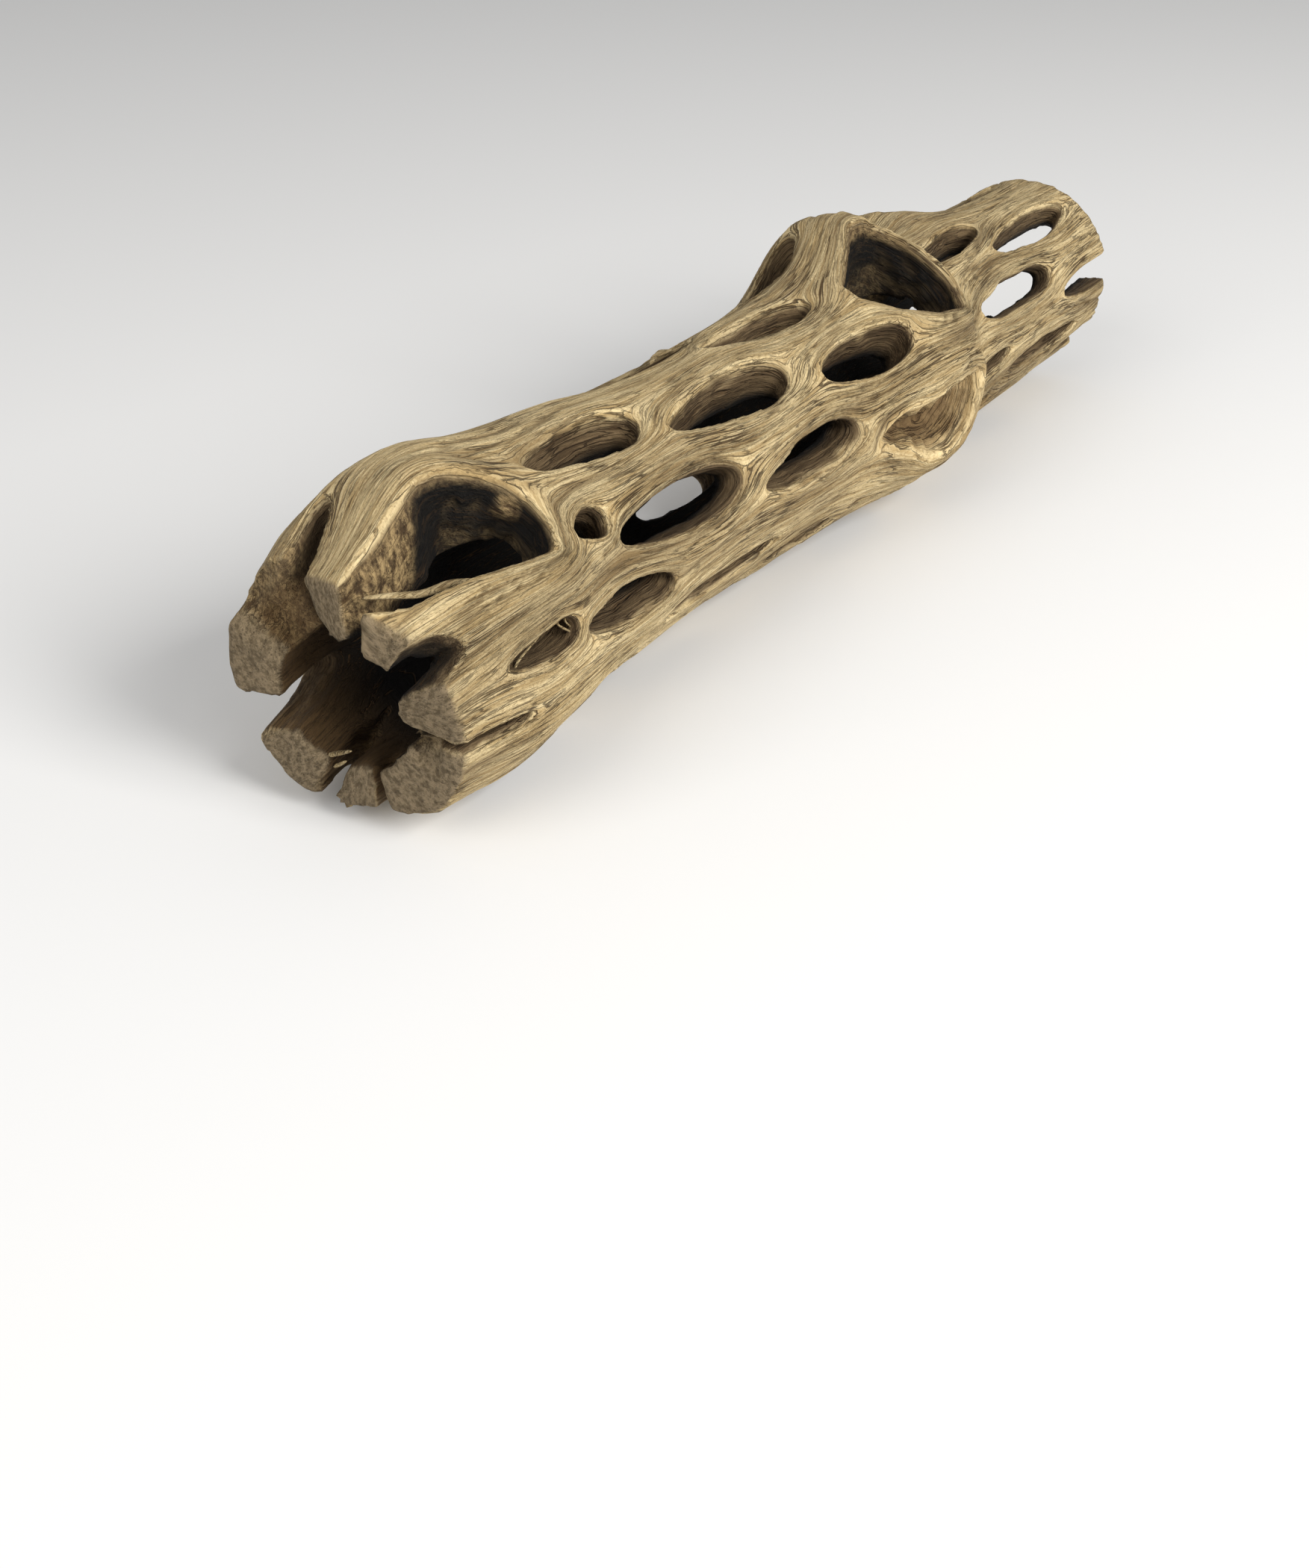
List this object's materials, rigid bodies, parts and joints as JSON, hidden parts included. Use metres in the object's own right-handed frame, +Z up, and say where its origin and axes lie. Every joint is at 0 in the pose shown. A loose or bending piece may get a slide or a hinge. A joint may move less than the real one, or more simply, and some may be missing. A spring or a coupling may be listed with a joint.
{
  "type": "cholla cactus skeleton",
  "caption": "Dried woody skeleton of a cholla cactus stem: a hollow tube of strands around staggered lens-shaped windows, with broken branch scars and sawn ends.",
  "frame": {"origin": "middle of the bounding box, on the surface that the piece lies on", "axes": "+X along the stem from the sawn end with the large branch scar to the other sawn end, +Y to one side of the stem, +Z up"},
  "size_m": [0.1543, 0.0327, 0.0346],
  "materials": {
    "weathered_wood": "dry, fibrous, matt"
  },
  "bodies": {
    "root": {"cholla_skeleton": "weathered_wood"}
  },
  "joints": []
}
